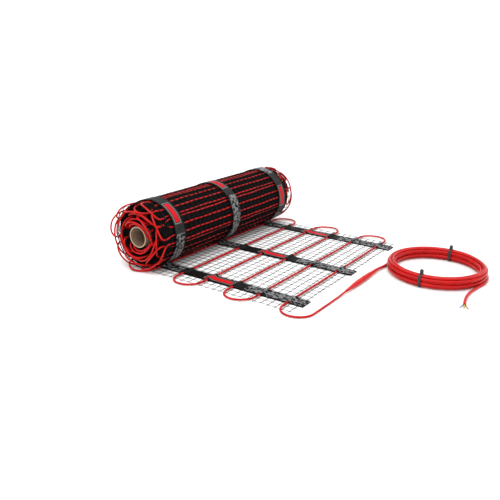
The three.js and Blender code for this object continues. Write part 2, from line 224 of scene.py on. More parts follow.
rough = put(plastic_skin, "ShaderNodeMapRange", Value=cloud.outputs["Fac"], From_Min=0.3, From_Max=0.7)
plastic_skin.links.new(given["Smooth"], rough.inputs["To Min"])
plastic_skin.links.new(given["Dull"], rough.inputs["To Max"])
plastic_skin.links.new(rough.outputs["Result"], result["Roughness"])
plastic_skin.links.new(skin.outputs["Fac"], result["Height"])


def start_material(name):
    material = bpy.data.materials.new(name)
    material.use_nodes = True
    tree = material.node_tree
    shader = tree.nodes["Principled BSDF"]
    return material, tree, shader


def add_relief(tree, shader, height, strength, depth):
    relief = put(tree, "ShaderNodeBump", Height=height, Strength=strength, Distance=depth)
    tree.links.new(relief.outputs["Normal"], shader.inputs["Normal"])


def plastic_material(name, colour, deep, smooth, dull, shine=0.3, bump=0.00004):
    material, tree, shader = start_material(name)
    finish = {"Colour": (*colour, 1), "Deep_Colour": (*deep, 1), "Smooth": smooth, "Dull": dull}
    group = put(tree, "ShaderNodeGroup", {"node_tree": plastic_skin}, **finish)
    tree.links.new(group.outputs["Colour"], shader.inputs["Base Color"])
    tree.links.new(group.outputs["Roughness"], shader.inputs["Roughness"])
    add_relief(tree, shader, group.outputs["Height"], 0.5, bump)
    shader.inputs["Specular IOR Level"].default_value = shine
    return material


# The places that the turns take in the coil's section: distance from the coil's middle and height
near_rows = (0.0852, 0.0907)
wide_rows = (0.0825, 0.0880, 0.0935)
outermost_turn = 0.0962
lowest_row = 0.0040
row_rise = 0.00455
row_heights = [lowest_row + row_rise * row for row in range(5)]
turn_places = [
    (near_rows[1], row_heights[0]),
    (near_rows[0], row_heights[0]),
    (wide_rows[0], row_heights[1]),
    (wide_rows[1], row_heights[1]),
    (near_rows[0], row_heights[2]),
    (wide_rows[0], row_heights[3]),
    (wide_rows[1], row_heights[3]),
    (near_rows[0], row_heights[4]),
    (near_rows[1], row_heights[4]),
    (wide_rows[2], row_heights[3]),
    (near_rows[1], row_heights[2]),
    (wide_rows[2], row_heights[1]),
    (outermost_turn, floor_height),
]
arrival_angle = math.radians(184.5)
leaving_angle = math.radians(-8.5)
full_turns = 11
turn_count = full_turns + (arrival_angle - leaving_angle) / (2 * math.pi)
steps_per_turn = 72
# Each turn crosses over to its next place in a short stretch, a little earlier than the last one did
first_crossing = 330
crossing_spread = 270
crossing_turns = 0.16
entry_flare = 0.0056
entry_turns = 0.2
slow_waver = 0.00025
quick_waver = 0.0002
height_waver = 0.00012


def ease(value):
    value = min(max(value, 0.0), 1.0)
    return value * value * (3 - 2 * value)


def coil_points():
    points = []
    for step in range(int(turn_count * steps_per_turn) + 1):
        turns = step / steps_per_turn
        number = min(int(turns), len(turn_places) - 2)
        within = turns - number
        crossing = (first_crossing - number * crossing_spread / full_turns) / 360
        share = ease((within - crossing) / crossing_turns + 0.5)
        before, after = turn_places[number], turn_places[number + 1]
        radius = before[0] + (after[0] - before[0]) * share
        height = before[1] + (after[1] - before[1]) * share
        radius += entry_flare * (1 - ease(turns / entry_turns))
        radius += slow_waver * math.sin(5.1 * turns + number) + quick_waver * math.sin(17 * turns)
        height += height_waver * math.sin(9.3 * turns + 2 * number)
        angle = arrival_angle - turns * 2 * math.pi
        points.append((coil_x + radius * math.cos(angle), coil_y + radius * math.sin(angle), height))
    return points


arriving = [
    (sleeve_x, sleeve_high.y - 0.004, sleeve_z),
    (sleeve_x, sleeve_high.y + 0.0003, sleeve_z),
    (sleeve_x + 0.0002, sleeve_high.y + 0.0083, sleeve_z - 0.0006),
    (sleeve_x + 0.0007, sleeve_high.y + 0.0203, floor_height + 0.0008),
    (sleeve_x + 0.0014, sleeve_high.y + 0.0333, floor_height),
    (sleeve_x + 0.0018, sleeve_high.y + 0.0443, floor_height),
]
run_to_sleeve = 0.362
first_run_place = sleeve_x - run_to_sleeve
free_end = [
    (0.5513, 0.070),
    (0.5482, 0.050),
    (0.5463, 0.030),
    (0.5469, 0.010),
    (0.5502, -0.010),
    (0.5546, -0.029),
]
leaving = [(first_run_place + x, y, floor_height) for x, y in free_end]
# Every third point of the coil is enough for a smooth curve
lead_path = curve_points(arriving + coil_points()[2::3] + leaving, path_spacing)
lead_red = (0.52, 0.003, 0.003)
lead_deep_red = (0.44, 0.002, 0.002)
lead_jacket = plastic_material("lead_jacket", lead_red, lead_deep_red, 0.24, 0.4, shine=0.22)
lead = sweep("lead", [lead_path], lead_radius, lead_radius, 14)
lead.data.materials.append(lead_jacket)
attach(lead, "root")
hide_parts("lead_start", "lead_coil", "lead_end")

# Bared cores
# Three insulated wires stand out of the cut jacket and fan apart: blue, green-yellow and red.
# Their copper is bared for a few millimetres at the tip.
wire_radius = 0.00085
wire_length = 0.0145
wire_hidden = 0.003
wire_gap = 0.0017
wire_fan = 0.0052
wire_droop = 0.0009
tip_radius = 0.00052
tip_length = 0.0036
tip_hidden = 0.0006
wire_finishes = {
    "core_neutral": ("core_blue", (0.10, 0.17, 0.36), (0.08, 0.13, 0.30)),
    "core_earth": ("core_green_yellow", (0.62, 0.70, 0.04), (0.12, 0.42, 0.05)),
    "core_live": ("core_red", (0.46, 0.05, 0.06), (0.36, 0.03, 0.04)),
}
copper, tree, shader = start_material("bare_copper")
strands = put(tree, "ShaderNodeTexNoise", Scale=3000.0, Detail=2.0)
tree.links.new(
    blend_colours(tree, strands.outputs["Fac"], (0.80, 0.36, 0.20, 1), (0.55, 0.22, 0.11, 1)),
    shader.inputs["Base Color"],
)
shader.inputs["Metallic"].default_value = 1.0
shader.inputs["Roughness"].default_value = 0.35
cut_end = lead_path[-1]
heading = cut_end - lead_path[-2]
heading /= np.linalg.norm(heading)
sideways = np.array((-heading[1], heading[0], 0.0))
wires = []
for number, (name, (slot, colour, deep)) in enumerate(wire_finishes.items()):
    line = []
    for share in np.linspace(0, 1, 12):
        out = wire_length * share - wire_hidden
        aside = (wire_gap + wire_fan * share**1.6) * (number - 1)
        line.append(cut_end + heading * out + sideways * aside + np.array((0, 0, -wire_droop * share)))
    line = np.array(line)
    wire = sweep(name + "_wire", [line], wire_radius, wire_radius, 12)
    wire.data.materials.append(plastic_material(name, colour, deep, 0.3, 0.45))
    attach(wire, "root")
    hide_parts(name)
    direction = line[-1] - line[-2]
    direction /= np.linalg.norm(direction)
    tip_shares = np.linspace(0, 1, 5)[:, None]
    tip_line = line[-1] + direction * (tip_length * tip_shares - tip_hidden)
    tip = sweep(name + "_tip", [tip_line], tip_radius, tip_radius, 10)
    tip.data.materials.append(copper)
    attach(tip, "root")
    wires += [wire, tip]

# Cable ties
# Two black nylon ties hold the turns together, one in front and one behind. Each strap runs round
# the coil and back through its square head, which stands up on top with the tail cut short.
tie_black = plastic_material("cable_tie", (0.018, 0.023, 0.023), (0.026, 0.032, 0.032), 0.35, 0.5)
tie_width = 0.0052
tie_thickness = 0.0011
tie_middle = 0.01305
strap_steps = 64
strap_half_depth = 0.0094
strap_half_height = 0.0125
strap_squareness = 0.8
# Across the strap's width, and out from its inner face
strap_section = ((-1, 0), (-1, 0.8), (-0.8, 1), (0.8, 1), (1, 0.8), (1, 0))
head_above_strap = 0.0036
head_half_sizes = (0.0030, 0.0026, 0.0038)
head_inward = 0.001
tail_above_strap = 0.0078
tail_half_sizes = (0.0021, 0.0007, 0.0010)


def rounded_box(name, centre, half_sizes, bevel):
    mesh = bpy.data.meshes.new(name)
    corners = [(x, y, z) for x in (-1, 1) for y in (-1, 1) for z in (-1, 1)]
    scaled = [tuple(c * h for c, h in zip(corner, half_sizes)) for corner in corners]
    faces = [(0, 1, 3, 2), (4, 6, 7, 5), (0, 4, 5, 1), (2, 3, 7, 6), (0, 2, 6, 4), (1, 5, 7, 3)]
    mesh.from_pydata(scaled, [], faces)
    piece = add_object(name, mesh)
    piece.matrix_world = Matrix.Translation(centre)
    rounding = piece.modifiers.new("rounding", "BEVEL")
    rounding.width = bevel
    rounding.segments = 3
    return piece


for name, side in (("front", -1), ("back", 1)):
    centre = Vector((coil_x, coil_y + side * wide_rows[1], tie_middle))
    verts = []
    faces = []
    for step in range(strap_steps):
        angle = step * 2 * math.pi / strap_steps
        across = math.copysign(abs(math.sin(angle)) ** strap_squareness, math.sin(angle))
        upward = math.copysign(abs(math.cos(angle)) ** strap_squareness, math.cos(angle))
        place = (centre.x, centre.y + strap_half_depth * across, centre.z + strap_half_height * upward)
        outward = np.array(place) - np.array(centre)
        outward /= np.linalg.norm(outward)
        for wide, out in strap_section:
            inner_face = np.array(place) + np.array((wide * tie_width / 2, 0, 0))
            verts.append(tuple(inner_face + outward * out * tie_thickness))
        here = step * len(strap_section)
        after = (step + 1) % strap_steps * len(strap_section)
        for corner in range(len(strap_section)):
            beside = (corner + 1) % len(strap_section)
            faces.append((here + corner, after + corner, after + beside, here + beside))
    mesh = bpy.data.meshes.new("tie_strap_" + name)
    mesh.from_pydata(verts, [], faces)
    strap = add_object("tie_strap_" + name, mesh, smooth=False)
    strap.data.materials.append(tie_black)
    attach(strap, "root")
    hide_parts("cable_tie_" + name)
    top = Vector((centre.x, centre.y - side * head_inward, centre.z + strap_half_height))
    head_place = top + Vector((0, 0, head_above_strap))
    tail_place = top + Vector((0, 0, tail_above_strap))
    head = rounded_box("tie_head_" + name, head_place, head_half_sizes, bevel=0.0005)
    tail = rounded_box("tie_tail_" + name, tail_place, tail_half_sizes, bevel=0.0002)
    for part in (head, tail):
        part.data.materials.append(tie_black)
        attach(part, "root")

# Splice sleeve
# Heat-shrink tube over the joint between heating cable and lead. It is fat over the soldered
# wires in the middle, drawn in to each cable at its ends, and slightly uneven where it shrank.
sleeve_length = sleeve_high.y - sleeve_low.y
sleeve_radius = (sleeve_high.x - sleeve_low.x) / 2
sleeve_steps = 96
cable_end_radius = 0.0026
cable_end_share = 0.36
lead_end_radius = 0.0031
lead_end_share = 0.42
ripple_room = 0.0002
sleeve_path = []
sleeve_radii = []
for step in range(sleeve_steps + 1):
    share = step / sleeve_steps
    sleeve_path.append((sleeve_x, sleeve_low.y + sleeve_length * share, sleeve_z))
    if share < 0.5:
        end_radius = cable_end_radius
        rise = ease(share / cable_end_share)
    else:
        end_radius = lead_end_radius
        rise = ease((1 - share) / lead_end_share)
    ripple = 0.00012 * math.sin(37 * share) + 0.00009 * math.sin(81 * share + 1)
    sleeve_radii.append(end_radius + (sleeve_radius - end_radius - ripple_room) * rise + ripple * rise)
sleeve_red = (0.58, 0.006, 0.006)
sleeve_deep_red = (0.46, 0.003, 0.003)
sleeve_skin = plastic_material("sleeve_skin", sleeve_red, sleeve_deep_red, 0.28, 0.45, 0.22, bump=0.00008)
sleeve = sweep("splice_sleeve_skin", [np.array(sleeve_path)], sleeve_radii, sleeve_radii, 24)
sleeve.data.materials.append(sleeve_skin)
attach(sleeve, "root")
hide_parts("splice_sleeve")

# Heating cable
# One thin red cable lies on the mesh in straight runs, joined past both edges by half-round
# loops. The flat part has six runs; the rest is rolled up with the mesh, squeezed a little thinner.
run_spacing = 0.060
run_count = 6
cable_radius = 0.0019
cable_height = 0.0029
core_low, core_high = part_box("core_tube")
axis_x = (core_low.x + core_high.x) / 2
axis_z = (core_low.z + core_high.z) / 2
roll_to_first_run = 0.0227
first_run_x = axis_x + roll_to_first_run
turn_pitch = 0.0045
rolled_turns = 9.5
loop_radius = run_spacing / 2
loop_middle = 0.216
flat_loop_steps = 18
flat_run_steps = 40
far_lean = 0.0026
near_lean = -0.0012
roll_start = -roll_to_first_run
rolled_length = 2 * math.pi * rolled_turns * (axis_z - turn_pitch * rolled_turns / 2)


def on_mat(along, across, height):
    """Places on the mat: flat along X past the roll, and wound round the roll's axis before it.
    Along is the distance from the first run, across is Y, height is above the underside."""
    along, across, height = np.broadcast_arrays(
        np.asarray(along, float), np.asarray(across, float), np.asarray(height, float)
    )
    wound = np.maximum(roll_start - along, 0.0)
    angle = (axis_z - np.sqrt(np.maximum(axis_z**2 - turn_pitch * wound / math.pi, 0))) / turn_pitch
    angle = angle * 2 * math.pi
    radius = axis_z - turn_pitch * angle / (2 * math.pi) - height
    rolled = np.stack([axis_x - radius * np.sin(angle), across, axis_z - radius * np.cos(angle)], -1)
    flat = np.stack([first_run_x + along, across, height], -1)
    up = np.stack([np.sin(angle), np.zeros_like(angle), np.cos(angle)], -1)
    return np.where((wound > 0)[..., None], rolled, flat), up


def loop_line(
    before, after, side, reach, lift=0.0, skew=0.0, bulge=0.0, foot=loop_middle, count=flat_loop_steps
):
    """Along, across and height over a rounded loop from the run before to the run after."""
    angle = np.linspace(-math.pi / 2, math.pi / 2, count)
    swing = np.cos(angle)
    along = (before + after) / 2 + (after - before) / 2 * np.sin(angle) * (1 + bulge * swing**2)
    along = along + skew * swing**2
    across = side * (foot + reach * swing)
    height = cable_height + lift * swing**2
    return np.stack([along, across, height], 1)


def run_line(along, from_across, to_across, count, phase):
    across = np.linspace(from_across, to_across, count + 2)[1:-1]
    sway = 0.00035 * np.sin(across * 41 + phase) + 0.0002 * np.sin(across * 97 + 2 * phase)
    return np.stack([along + sway, across, np.full(count, cable_height)], 1)


chance = random.Random(11)
flat_route = []
first_loop = loop_line(-run_spacing, 0.0, -1, loop_radius)
loop_crown = flat_loop_steps // 2
flat_route.append(first_loop[loop_crown:])
for run in range(run_count):
    side = 1 if run % 2 == 0 else -1
    before, after = run * run_spacing, (run + 1) * run_spacing
    flat_route.append(run_line(before, -side * loop_middle, side * loop_middle, flat_run_steps, run))
    lean = far_lean if side == 1 else near_lean
    flat_route.append(loop_line(before, after, side, loop_radius, skew=lean))
flat_route = np.concatenate(flat_route)
flat_points, _ = on_mat(*flat_route.T)
tail_height = 0.0023
sink = np.linspace(0, 1, flat_loop_steps)
flat_points[-flat_loop_steps:, 2] += (tail_height - cable_height) * sink
tail_corners = [
    flat_points[-2],
    flat_points[-1],
    (first_run_x + 0.3602, -0.190, tail_height),
    (first_run_x + 0.3605, sleeve_low.y - 0.060, tail_height),
    (first_run_x + 0.3613, sleeve_low.y - 0.025, 0.0033),
    (sleeve_x, sleeve_low.y - 0.0003, sleeve_z),
    (sleeve_x, sleeve_low.y + 0.004, sleeve_z),
]
tail_points = curve_points(tail_corners, path_spacing)
tail_points = tail_points[np.argmax(tail_points[:, 1] > flat_points[-1][1] + 0.001) :]
cable_points = np.concatenate([flat_points, tail_points])
cable_red = (0.50, 0.003, 0.003)
cable_deep_red = (0.38, 0.0015, 0.0015)
cable_jacket = plastic_material("heating_cable_jacket", cable_red, cable_deep_red, 0.26, 0.42, shine=0.16)
flat_cable = sweep("heating_cable_flat", [cable_points], cable_radius, cable_radius, 12)
flat_cable.data.materials.append(cable_jacket)
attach(flat_cable, "root")
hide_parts("heating_cable")

# The rolled runs lie in a spiral. Those of the second to fourth turns press out between the
# outermost runs. Past the tapes every run curves over into a wide loop, which sinks back to its
# own turn, so that the loops of all the turns cross each other beyond both ends of the roll.


def turns_in(along):
    """How many turns in from the outside a place of the rolled mat lies."""
    wound = max(roll_start - along, 0.0)
    return (axis_z - math.sqrt(axis_z**2 - turn_pitch * wound / math.pi)) / turn_pitch


pressed_back = (0.0, 0.0002, 0.0004, 0.0006)
runs_per_turn = 7.33
loose_spacing = 0.056
rolled_foot = 0.200
rolled_radius = 0.0017
thickening_steps = 40
rolled_run_steps = 44
rolled_loop_steps = 34
reach_range = (0.036, 0.046)
lift_range = (-0.0045, 0.0045)
skew_range = (-0.008, 0.008)
bulge_range = (1.4, 2.8)
rolled_places = [0.0, -run_spacing]
while rolled_places[-1] > 2 * loose_spacing - rolled_length:
    turn = turns_in(rolled_places[-1])
    spacing = 2 * math.pi * (axis_z - turn_pitch * turn) / runs_per_turn
    rolled_places.append(rolled_places[-1] - (spacing if turn < len(pressed_back) else loose_spacing))
rolled_runs = len(rolled_places) - 1


def pressed_out(run):
    """How far a rolled run is pushed out from its own turn towards the surface of the roll."""
    turn = int(turns_in(rolled_places[run]))
    if turn == 0 or turn >= len(pressed_back):
        return 0.0
    return turn_pitch * turn - pressed_back[turn]


# Reach, lift, skew and bulge of the outer loops that curl into view at the near end
curled_loops = {
    3: (0.045, -0.001, 0.002, 0.8),
    5: (0.036, -0.003, -0.006, 0.7),
    7: (0.033, -0.003, 0.004, 0.6),
    9: (0.040, -0.004, -0.005, 0.9),
    11: (0.037, -0.006, 0.006, 0.8),
    13: (0.042, -0.005, -0.003, 1.0),
    15: (0.040, -0.007, 0.004, 1.0),
}
rolled_route = []
for run in range(rolled_runs, 0, -1):
    side = 1 if run % 2 == 0 else -1
    last_foot = loop_middle if run == 1 else rolled_foot
    line = run_line(rolled_places[run], -side * rolled_foot, side * last_foot, rolled_run_steps, run)
    line[:, 2] -= pressed_out(run)
    rolled_route.append(line)
    reach = chance.uniform(*reach_range)
    lift = chance.uniform(*lift_range)
    skew = chance.uniform(*skew_range)
    bulge = chance.uniform(*bulge_range)
    if side == -1 and run in curled_loops:
        reach, lift, skew, bulge = curled_loops[run]
    before, after = rolled_places[run], rolled_places[run - 1]
    loop = loop_line(before, after, side, reach, lift, skew, bulge, rolled_foot, rolled_loop_steps)
    share = np.linspace(0, 1, rolled_loop_steps)
    swing = np.sin(math.pi * share)
    outward = pressed_out(run) * (1 - share) + pressed_out(run - 1) * share
    loop[:, 2] -= outward * (1 - swing**3)
    if run == 1:
        loop = first_loop[: loop_crown + 1]
    rolled_route.append(loop)
rolled_route = np.concatenate(rolled_route)
rolled_points, _ = on_mat(*rolled_route.T)
rolled_radii = np.full(len(rolled_points), rolled_radius)
rolled_radii[-thickening_steps:] = np.linspace(rolled_radius, cable_radius, thickening_steps)
rolled_cable = sweep("heating_cable_rolled", [rolled_points], rolled_radii, rolled_radii, 10)
rolled_cable.data.materials.append(cable_jacket)
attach(rolled_cable, "root")

# Mesh of the mat
# Black glass-fibre scrim with 15 mm cells. Each warp is a pair of threads: one goes under the
# wefts and the cable, the other over both, so a dark stitch crosses the cable at every warp.
warp_pitch = 0.0149
warp_count = 31
mesh_shift = -0.003
weft_pitch = 0.015
weft_past_run = 0.0051
last_weft = (run_count - 1) * run_spacing + weft_past_run + weft_pitch
half_warps = (warp_count - 1) * warp_pitch / 2
warp_places = [mesh_shift - half_warps + index * warp_pitch for index in range(warp_count)]
under_height = 0.00045
over_height = 0.00125
weft_height = 0.00085
arch_gap = 0.00035
arch_half_length = 0.0031
warp_fringe = (0.003, 0.0075)
weft_fringe = (0.002, 0.005)

thread_twist, given, result = new_group(
    "thread_twist",
    [
        ("Colour", "Color", (0.02, 0.02, 0.02, 1)),
        ("Fibre Colour", "Color", (0.06, 0.06, 0.06, 1)),
        ("Twist Length", "Float", 0.0016),
    ],
    [("Colour", "Color"), ("Height", "Float")],
)
lay = put(thread_twist, "ShaderNodeAttribute", {"attribute_name": "unrolled"}).outputs["Vector"]
axes = put(thread_twist, "ShaderNodeSeparateXYZ", Vector=lay)
slant = arithmetic(thread_twist, "ADD", axes.outputs["X"], axes.outputs["Y"])
turnings = arithmetic(thread_twist, "DIVIDE", slant, given["Twist Length"])
wave = arithmetic(thread_twist, "SINE", arithmetic(thread_twist, "MULTIPLY", turnings, 2 * math.pi))
fuzz = put(thread_twist, "ShaderNodeTexNoise", Vector=lay, Scale=900.0, Detail=3.0)
ridge = arithmetic(thread_twist, "MULTIPLY_ADD", wave, 0.25, fuzz.outputs["Fac"])
thread_twist.links.new(ridge, result["Height"])
fibre_share = ranged(thread_twist, ridge, 0.35, 0.85, 0.0, 1.0)
thread_twist.links.new(
    blend_colours(thread_twist, fibre_share, given["Colour"], given["Fibre Colour"]), result["Colour"]
)


def thread_material(name, colour, fibre):
    material, tree, shader = start_material(name)
    finish = {"Colour": (*colour, 1), "Fibre_Colour": (*fibre, 1)}
    group = put(tree, "ShaderNodeGroup", {"node_tree": thread_twist}, **finish)
    tree.links.new(group.outputs["Colour"], shader.inputs["Base Color"])
    add_relief(tree, shader, group.outputs["Height"], 0.6, 0.0001)
    shader.inputs["Roughness"].default_value = 0.75
    shader.inputs["Specular IOR Level"].default_value = 0.05
    return material


mesh_black = thread_material("mesh_thread", (0.003, 0.003, 0.0034), (0.018, 0.018, 0.019))


def from_nearest_run(along):
    return (along + run_spacing / 2) % run_spacing - run_spacing / 2


def thread_height(along, over):
    """The upper thread of a warp arches over each run of cable, the lower one passes under."""
    if not over:
        return under_height + 0.00012 * np.cos(along / weft_pitch * 2 * math.pi)
    arch = np.exp(-((from_nearest_run(along) / arch_half_length) ** 4))
    return over_height + (cable_height + cable_radius + arch_gap - over_height) * arch


def warp_lines(from_along, to_along, spacing, places, rng):
    lines, ups, flats = [], [], []
    for across in places:
        for over in (False, True):
            ragged = rng.uniform(*warp_fringe)
            end = to_along if to_along < last_weft else to_along + ragged
            count = int((end - from_along) / spacing) + 2
            along = np.linspace(from_along, end, count)
            beside = 0.0003 if over else -0.0002
            sway = 0.00035 * np.sin(along * 63 + across * 900) + beside
            height = thread_height(along, over)
            points, up = on_mat(along, across + sway, height)
            lines.append(points)
            ups.append(up)
            flats.append(np.stack([along, across + sway, height], 1))
    return lines, ups, flats


def weft_lines(places, rng):
    lines, ups, flats = [], [], []
    for along_place in places:
        start = warp_places[0] - rng.uniform(*weft_fringe)
        end = warp_places[-1] + rng.uniform(*weft_fringe)
        across = np.linspace(start, end, 62)
        along = along_place + 0.0004 * np.sin(across * 57 + along_place * 700)
        height = weft_height + 0.0001 * np.sin(across / warp_pitch * math.pi)
        points, up = on_mat(along, across, height)
        lines.append(points)
        ups.append(up)
        flats.append(np.stack([along, across, height], 1))
    return lines, ups, flats


warp_section = (0.00028, 0.00022)
weft_section = (0.00062, 0.00025)
under_thread_share = 0.45
thread_shares = [under_thread_share, 1.0] * warp_count
warps, warp_ups, warp_flats = warp_lines(roll_start, last_weft, 0.0026, warp_places, chance)
flat_warps = sweep("mesh_warps_flat", warps, *warp_section, 6, warp_ups, warp_flats, thread_shares)
flat_weft_count = int((last_weft - roll_start) / weft_pitch) + 1
weft_places = [last_weft - index * weft_pitch for index in range(flat_weft_count)]
wefts, weft_ups, weft_flats = weft_lines(weft_places, chance)
flat_wefts = sweep("mesh_wefts_flat", wefts, *weft_section, 6, weft_ups, weft_flats)
for threads, node in ((flat_warps, "mesh_warp"), (flat_wefts, "mesh_weft")):
    threads.data.materials.append(mesh_black)
    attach(threads, "root")
    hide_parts(node)

# Rolled mesh
# The same threads go on round the roll. The outermost turn is made thread by thread, and further
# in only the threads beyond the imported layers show, at both ends of the roll.
packed_near = -0.2195
packed_far = 0.2130
rolled_warp_section = (0.0009, 0.00026)
rolled_weft_section = (0.00065, 0.00027)
outer_turns = 1.03
stub_steps = 5
stub_overlap = 0.004
near_stub = (packed_near + stub_overlap, warp_places[0] - stub_overlap)
far_stub = (packed_far - stub_overlap, warp_places[-1] + stub_overlap)
one_turn = 2 * math.pi * outer_turns * (axis_z - turn_pitch / 2)
warps = warp_lines(-one_turn, roll_start - 0.0005, 0.0040, warp_places, chance)
end_places = [place for place in warp_places if place < packed_near - 0.005 or place > packed_far - 0.002]
edges = warp_lines(-rolled_length, -one_turn, 0.005, end_places, chance)
rolled_warps = sweep(
    "mesh_warps_rolled",
    warps[0] + edges[0],
    *rolled_warp_section,
    5,
    warps[1] + edges[1],
    warps[2] + edges[2],
)
rolled_weft_count = int((rolled_length + roll_start) / weft_pitch)
rolled_weft_places = [weft_places[-1] - (index + 1) * weft_pitch for index in range(rolled_weft_count)]
outer_wefts = [place for place in rolled_weft_places if place > -one_turn]
wefts = weft_lines(outer_wefts, chance)
stubs = ([], [], [])
for along in rolled_weft_places[len(outer_wefts) :]:
    for root, tip in (near_stub, far_stub):
        across = np.linspace(root, tip + chance.uniform(-0.001, 0.001), stub_steps)
        height = np.full(stub_steps, weft_height)
        points, up = on_mat(along, across, height)
        stubs[0].append(points)
        stubs[1].append(up)
        stubs[2].append(np.stack([np.full(stub_steps, along), across, height], 1))
rolled_wefts = sweep(
    "mesh_wefts_rolled",
    wefts[0] + stubs[0],
    *rolled_weft_section,
    5,
    wefts[1] + stubs[1],
    wefts[2] + stubs[2],
)
for threads in (rolled_warps, rolled_wefts):
    threads.data.materials.append(mesh_black)
    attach(threads, "root")
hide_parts("outer_turn")

# Packed inner turns
# Under the outermost threads the layers of mesh, tape and cable are drawn as one dark body, wound round the
# core, with the layers' edges showing on both ends of the roll. Its near-black colour is partly the black
# mesh and partly painted shade for the roll's shadowed inside, which also hides the inner runs of red cable.


def slab(name, along, across, height_at, thickness):
    """A thin closed sheet on the mat between the given lines, with its unrolled places."""
    along = np.asarray(along, float)
    across = np.asarray(across, float)
    grid_along, grid_across = np.meshgrid(along, across, indexing="ij")
    low = height_at(grid_along, grid_across)
    verts = []
    flats = []
    for height in (low, low + thickness):
        points, _ = on_mat(grid_along, grid_across, height)
        verts.append(points.reshape(-1, 3))
        flats.append(np.stack([grid_along, grid_across, height], -1).reshape(-1, 3))
    rows, columns = grid_along.shape
    size = rows * columns
    index = np.arange(size).reshape(rows, columns)
    a, b, c, d = index[:-1, :-1], index[1:, :-1], index[1:, 1:], index[:-1, 1:]
    faces = np.stack([a, d, c, b], -1).reshape(-1, 4).tolist()
    faces += (np.stack([a, b, c, d], -1) + size).reshape(-1, 4).tolist()
    rim = list(index[:, 0]) + list(index[-1, 1:]) + list(index[-2::-1, -1]) + list(index[0, -2:0:-1])
    for step, here in enumerate(rim):
        after = rim[(step + 1) % len(rim)]
        faces.append((int(here), int(after), int(after) + size, int(here) + size))
    mesh = bpy.data.meshes.new(name)
    mesh.from_pydata(np.concatenate(verts).tolist(), [], faces)
    layer = mesh.attributes.new("unrolled", "FLOAT_VECTOR", "POINT")
    layer.data.foreach_set("vector", np.concatenate(flats).astype(np.float32).ravel())
    mesh.update()
    return add_object(name, mesh, smooth=False)


packed_mesh_painted_shade, tree, shader = start_material("packed_mesh_painted_shade")
lay = put(tree, "ShaderNodeAttribute", {"attribute_name": "unrolled"}).outputs["Vector"]
axes = put(tree, "ShaderNodeSeparateXYZ", Vector=lay)
crossed = []
for axis, pitch in (("X", 0.0050), ("Y", 0.00497)):
    swing = arithmetic(tree, "MULTIPLY", axes.outputs[axis], 2 * math.pi / pitch)
    crossed.append(arithmetic(tree, "COSINE", swing))
net = arithmetic(tree, "MAXIMUM", *crossed)
fuzz = put(tree, "ShaderNodeTexNoise", Vector=lay, Scale=260.0, Detail=4.0)
net = arithmetic(tree, "MULTIPLY_ADD", net, 0.5, fuzz.outputs["Fac"])
share = ranged(tree, net, 0.2, 1.1, 0.0, 1.0)
# Near-black: the mesh's own black, deepened with painted shade for the shadowed inside of the roll
tree.links.new(
    blend_colours(tree, share, (0.0012, 0.0010, 0.0011, 1), (0.0085, 0.0068, 0.0072, 1)),
    shader.inputs["Base Color"],
)
add_relief(tree, shader, share, 0.8, 0.0006)
shader.inputs["Roughness"].default_value = 0.9
shader.inputs["Specular IOR Level"].default_value = 0.03
packed_depth = 0.0023
packed_thickness = 0.0036
packed_along = np.arange(roll_start - 0.004, -rolled_length, -0.005)[::-1]
packed_across = np.linspace(packed_near, packed_far, 9)


def packed_height(along, across):
    return packed_depth + 0.0002 * np.sin(along * 90 + across * 40)


packed = slab("packed_turns", packed_along, packed_across, packed_height, packed_thickness)
packed.data.materials.append(packed_mesh_painted_shade)
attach(packed, "root")
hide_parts("rolled_turns")

# Core tube
# Spiral-wound board tube that the mat is rolled on, open at both ends, with a pale cut rim and
# the seam of its outer ply running round it.
card, tree, shader = start_material("core_card")
seam_pitch = 0.075
place = put(tree, "ShaderNodeTexCoord").outputs["Object"]
axes = put(tree, "ShaderNodeSeparateXYZ", Vector=place)
fibre = put(tree, "ShaderNodeTexNoise", Vector=place, Scale=420.0, Detail=6.0)
stain = put(tree, "ShaderNodeTexNoise", Vector=place, Scale=35.0, Detail=3.0)
upright = arithmetic(tree, "SUBTRACT", axes.outputs["Z"], axis_z)
sideways = arithmetic(tree, "SUBTRACT", axes.outputs["X"], axis_x)
bearing = arithmetic(tree, "DIVIDE", arithmetic(tree, "ARCTAN2", upright, sideways), 2 * math.pi)
wound = arithmetic(tree, "ADD", arithmetic(tree, "DIVIDE", axes.outputs["Y"], seam_pitch), bearing)
seam = ranged(tree, arithmetic(tree, "PINGPONG", wound, 0.5), 0.0, 0.012, 1.0, 0.0)
seam_shade = arithmetic(tree, "MULTIPLY", seam, 0.4)
shade = arithmetic(tree, "MULTIPLY_ADD", fibre.outputs["Fac"], 0.7, seam_shade)
mixed = blend_colours(tree, shade, (0.30, 0.205, 0.13, 1), (0.17, 0.11, 0.07, 1))
patchy = ranged(tree, stain.outputs["Fac"], 0.4, 0.7, 0.0, 0.4)
plied = blend_colours(tree, patchy, mixed, (0.22, 0.15, 0.10, 1))
from_end = arithmetic(tree, "SUBTRACT", core_high.y, arithmetic(tree, "ABSOLUTE", axes.outputs["Y"]))
cut = ranged(tree, from_end, 0.0002, 0.0006, 0.85, 0.0)
tree.links.new(blend_colours(tree, cut, plied, (0.62, 0.47, 0.33, 1)), shader.inputs["Base Color"])
add_relief(tree, shader, shade, 0.5, 0.0002)
shader.inputs["Roughness"].default_value = 0.9
core_radius = (core_high.x - core_low.x) / 2
core_half = (core_high.y - core_low.y) / 2
wall = 0.0016
rim = 0.0003
profile = [
    (core_radius, -core_half + rim),
    (core_radius, core_half - rim),
    (core_radius - rim, core_half),
    (core_radius - wall + rim, core_half),
    (core_radius - wall, core_half - rim),
    (core_radius - wall, -core_half + rim),
    (core_radius - wall + rim, -core_half),
    (core_radius - rim, -core_half),
]
segments = 96
verts = []
faces = []
